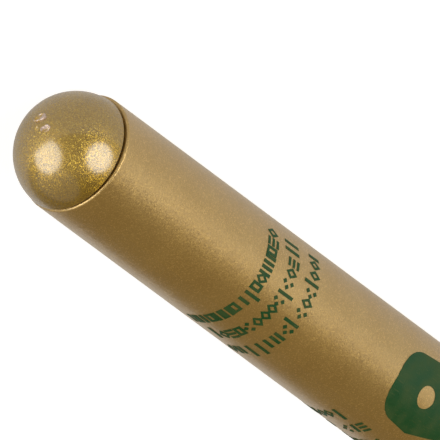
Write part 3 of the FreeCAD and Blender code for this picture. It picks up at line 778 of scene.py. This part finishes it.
# ---- moulding marks -------------------------------------------------------------------------
def gate_mark(name, tip, facing, radius, height, seed):
    """The small torn stub that a mould's gate leaves: a ragged rim round a tilted, broken face."""
    bm = bmesh.new()
    sides = 18
    rings = [(1.0, -0.5), (0.94, 0.45), (0.80, 1.0), (0.62, 0.62), (0.34, 0.50)]    # radius, rise
    middle_rise, long_way, short_way = 0.55, 1.2, 0.8
    loops = []
    for ring, (share, rise) in enumerate(rings):
        loop = []
        for i in range(sides):
            turn = 2 * math.pi * i / sides
            ragged = 1 + 0.10 * math.sin(3 * turn + seed) + 0.07 * math.sin(5 * turn + 2 * seed)
            torn = 0.22 * math.sin(4 * turn + ring + seed) + 0.16 * math.sin(7 * turn - seed)
            uneven = (0.40 * math.sin(turn + seed) if ring > 0 else 0.0) + (torn if ring > 1 else 0.0)
            x = long_way * radius * share * ragged * math.cos(turn)
            y = short_way * radius * share * ragged * math.sin(turn)
            loop.append(bm.verts.new((x, y, height * (rise + uneven * share))))
        loops.append(loop)
    for outer, inner in zip(loops, loops[1:]):
        for i in range(sides):
            j = (i + 1) % sides
            bm.faces.new((outer[i], outer[j], inner[j], inner[i]))
    top = bm.verts.new((0, 0, middle_rise * height))
    for i in range(sides):
        bm.faces.new((loops[-1][i], loops[-1][(i + 1) % sides], top))
    bm.faces.new(loops[0][::-1])
    turn = facing.to_track_quat("Z", "Y").to_matrix().to_4x4()
    bmesh.ops.transform(bm, matrix=Matrix.Translation(tip) @ turn, verts=bm.verts)
    bmesh.ops.recalc_face_normals(bm, faces=bm.faces)
    mesh = bpy.data.meshes.new(name)
    bm.to_mesh(mesh)
    bm.free()
    mesh.materials.append(bpy.data.materials.get("torn_gold_painted_reflection") or torn_gold_painted_reflection())
    piece = link(name, mesh)
    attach(piece, "pen")


def dome_surface(direction):
    """The point of the end plug's dome that lies farthest along a direction."""
    spots = [vertex.co for vertex in frame["nodes"]["end_plug"].data.vertices]
    return max(spots, key=lambda spot: spot.dot(direction)).copy()


# ---- operators ------------------------------------------------------------------------------
class MARKER_OT_barrel(bpy.types.Operator):
    """Give the barrel its satin pearl gold"""
    bl_idname = "marker.barrel"
    bl_label = "Barrel"

    def execute(self, context):
        dress("barrel")
        return {"FINISHED"}


class MARKER_OT_end_plug(bpy.types.Operator):
    """Give the domed end plug its gold flake and the stub of its mould gate"""
    bl_idname = "marker.end_plug"
    bl_label = "End plug"

    def execute(self, context):
        dress("end_plug")
        for name, way, radius, height, seed in (
                ("plug_gate", (-0.988, 0.058, -0.142), 0.52 * MM, 0.12 * MM, 0.8),
                ("plug_gate_chip", (-0.9915, 0.098, 0.089), 0.40 * MM, 0.10 * MM, 2.6)):
            facing = Vector(way).normalized()
            gate_mark(name, dome_surface(facing), facing, radius, height, seed)
        return {"FINISHED"}


class MARKER_OT_cap(bpy.types.Operator):
    """Finish the cap shell, its crown, its inner cap and the pocket clip"""
    bl_idname = "marker.cap"
    bl_label = "Cap and clip"

    def execute(self, context):
        dress("cap_shell", "cap_crown", "inner_cap", "pocket_clip")
        return {"FINISHED"}


class MARKER_OT_writing_end(bpy.types.Operator):
    """Finish the front section and the nib"""
    bl_idname = "marker.writing_end"
    bl_label = "Writing end"

    def execute(self, context):
        dress("front_section", "nib")
        return {"FINISHED"}


class MARKER_OT_ink_store(bpy.types.Operator):
    """Finish the reservoir, its film and the breather tube"""
    bl_idname = "marker.ink_store"
    bl_label = "Ink store"

    def execute(self, context):
        dress("ink_reservoir", "reservoir_film", "breather_tube")
        return {"FINISHED"}


class MARKER_OT_small_print(bpy.types.Operator):
    """Print the blocks of small abstract marks round the barrel"""
    bl_idname = "marker.small_print"
    bl_label = "Small print"

    def execute(self, context):
        sizes = context.scene.marker_print
        print_block("small_print", sizes.block_marks, sizes.first_line, sizes.block_start, seed=5)
        print_block("side_print", sizes.side_marks, sizes.side_first, sizes.side_start, seed=11)
        return {"FINISHED"}


class MARKER_OT_emblem(bpy.types.Operator):
    """Print the nib emblem and the sample of the broad stroke"""
    bl_idname = "marker.emblem"
    bl_label = "Emblem and stroke sample"

    def execute(self, context):
        nib_emblem()
        stroke_wave()
        return {"FINISHED"}


def area_light(name, way, distance, size, radiance, target):
    """An oval softbox that shines on the target from a direction, with a given radiance."""
    data = bpy.data.lights.new(name, "AREA")
    data.shape = "ELLIPSE"
    data.size, data.size_y = size
    data.energy = radiance * math.pi * math.pi / 4 * size[0] * size[1]
    light = bpy.data.objects.new(name, data)
    light.location = target + way.normalized() * distance
    light.rotation_euler = way.to_track_quat("Z", "Y").to_euler()
    light.visible_camera = False
    bpy.context.scene.collection.objects.link(light)


def pale_floor(reflectance):
    """Pale paper that also glows a little, and more to the camera, so that it shows white."""
    glow, shown_glow = 0.22, 0.80
    made = bpy.data.materials.new("pale_floor")
    made.use_nodes = True
    tree = made.node_tree
    tree.nodes.clear()
    grain = add(tree, "ShaderNodeTexNoise", {
        "Vector": add(tree, "ShaderNodeTexCoord").outputs["Object"], "Scale": 40.0, "Detail": 3.0})
    tone = blend_colours(tree, grain.outputs[0], (reflectance,) * 3, (reflectance * 0.99,) * 3)
    paper = add(tree, "ShaderNodeBsdfDiffuse", {"Color": tone})
    sight = add(tree, "ShaderNodeLightPath").outputs["Is Camera Ray"]
    lift = add(tree, "ShaderNodeEmission", {
        "Color": (1.0, 0.99, 0.98, 1), "Strength": spread(tree, sight, 0.0, 1.0, glow, shown_glow)})
    both = add(tree, "ShaderNodeAddShader", {0: paper.outputs[0], 1: lift.outputs[0]})
    add(tree, "ShaderNodeOutputMaterial", {0: both.outputs[0]})
    return made


def pale_room(brightness, dim_side):
    """A pale room whose reflected light is weaker and warmer on one side."""
    world = bpy.data.worlds.new("pale_room")
    bpy.context.scene.world = world
    world.use_nodes = True
    tree = world.node_tree
    tree.nodes.clear()
    way = add(tree, "ShaderNodeTexCoord").outputs["Generated"]
    dimmest, shown = 0.74 * brightness, 1.05
    pale, warm = (1.0, 0.97, 0.95), (1.0, 0.75, 0.38)
    sides = {0: way, 1: dim_side.normalized()}
    toward = add(tree, "ShaderNodeVectorMath", sides, operation="DOT_PRODUCT")
    aside = spread(tree, toward.outputs["Value"], 0.20, 0.95)
    glow = spread(tree, aside, 0.0, 1.0, brightness, dimmest)
    sight = add(tree, "ShaderNodeLightPath").outputs["Is Camera Ray"]
    warmth = blend_colours(tree, aside, pale, warm)
    tone = blend_colours(tree, sight, warmth, (1.0, 1.0, 1.0))
    strength = maths(tree, "MAXIMUM", glow, maths(tree, "MULTIPLY", sight, shown))
    sky = add(tree, "ShaderNodeBackground", {"Color": tone, "Strength": strength})
    add(tree, "ShaderNodeOutputWorld", {0: sky.outputs[0]})


class MARKER_OT_stage(bpy.types.Operator):
    """Make the floor, the room, the softboxes and the camera"""
    bl_idname = "marker.stage"
    bl_label = "Studio"

    def execute(self, context):
        studio = context.scene.marker_studio
        reach = 6.0
        corners = [(-reach, -reach, 0), (reach, -reach, 0), (reach, reach, 0), (-reach, reach, 0)]
        mesh = bpy.data.meshes.new("floor")
        mesh.from_pydata(corners, [], [(0, 1, 2, 3)])
        mesh.materials.append(pale_floor(studio.floor))
        link("floor", mesh)
        dim_side = Vector((0.68, -0.33, 0.65))
        pale_room(studio.room, dim_side)

        above = Vector((0, math.cos(studio.roll), math.sin(studio.roll)))
        facing = Vector((0, -math.sin(studio.roll), math.cos(studio.roll)))
        back = math.sin(studio.sight) * facing - math.cos(studio.sight) * Vector((1, 0, 0))
        along = above.cross(back)
        right = math.cos(studio.lean) * along + math.sin(studio.lean) * above
        up = math.cos(studio.lean) * above - math.sin(studio.lean) * along
        rim = Vector((RIM_X, 0, AXIS_Z))
        target = rim + studio.right * right - studio.down * up

        data = bpy.data.cameras.new("camera")
        data.sensor_width = 36
        data.lens = data.sensor_width * studio.distance / studio.width
        data.clip_start, data.clip_end = 0.05, 20
        camera = bpy.data.objects.new("camera", data)
        turn = Matrix((right, up, back)).transposed().to_4x4()
        camera.matrix_world = Matrix.Translation(target + studio.distance * back) @ turn
        context.scene.collection.objects.link(camera)
        context.scene.camera = camera

        def way(x, y, z):
            return right * x + up * y + back * z

        area_light("key_softbox", way(0.70, -0.113, 0.704), 0.9, (0.84, 0.84), studio.key, rim)
        area_light("side_panel", Vector((0.682, 0.6625, 0.309)), 1.0, (0.34, 0.80), studio.panel, rim)
        area_light("second_softbox", way(-0.80, -0.082, 0.595), 0.9, (0.92, 0.92), studio.second, rim)
        area_light("low_panel", way(-0.50, -0.80, 0.33), 1.0, (1.40, 1.40), studio.low, rim)
        context.scene.view_settings.view_transform = "Standard"
        return {"FINISHED"}


class MARKER_PT_panel(bpy.types.Panel):
    """Builds the marker's finish and shows its settings"""
    bl_idname = "MARKER_PT_panel"
    bl_label = "Calligraphy marker"
    bl_space_type = "VIEW_3D"
    bl_region_type = "UI"
    bl_category = "Marker"

    def draw(self, context):
        for operator in OPERATORS:
            self.layout.operator(operator.bl_idname)
        for settings in SETTINGS:
            group = getattr(context.scene, settings)
            box = self.layout.box()
            for name in group.bl_rna.properties.keys():
                if name not in ("rna_type", "name"):
                    box.prop(group, name)


SETTINGS = {"marker_colours": MarkerColours, "marker_print": PrintSizes, "marker_studio": StudioSettings}
OPERATORS = (
    MARKER_OT_stage, MARKER_OT_barrel, MARKER_OT_end_plug, MARKER_OT_cap, MARKER_OT_writing_end,
    MARKER_OT_ink_store, MARKER_OT_small_print, MARKER_OT_emblem,
)


def register():
    for name, group in SETTINGS.items():
        bpy.utils.register_class(group)
        setattr(bpy.types.Scene, name, bpy.props.PointerProperty(type=group))
    for part in (*OPERATORS, MARKER_PT_panel):
        bpy.utils.register_class(part)


def unregister():
    for part in (MARKER_PT_panel, *reversed(OPERATORS)):
        bpy.utils.unregister_class(part)
    for name, group in reversed(SETTINGS.items()):
        delattr(bpy.types.Scene, name)
        bpy.utils.unregister_class(group)


def main():
    register()
    bpy.ops.marker.stage()
    bpy.ops.marker.barrel()
    bpy.ops.marker.end_plug()
    bpy.ops.marker.cap()
    bpy.ops.marker.writing_end()
    bpy.ops.marker.ink_store()
    bpy.ops.marker.small_print()
    bpy.ops.marker.emblem()
    marks = bpy.data.collections["small_marks"]
    for mark in list(marks.objects):
        bpy.data.objects.remove(mark)
    bpy.data.collections.remove(marks)


if __name__ == "__main__":
    main()
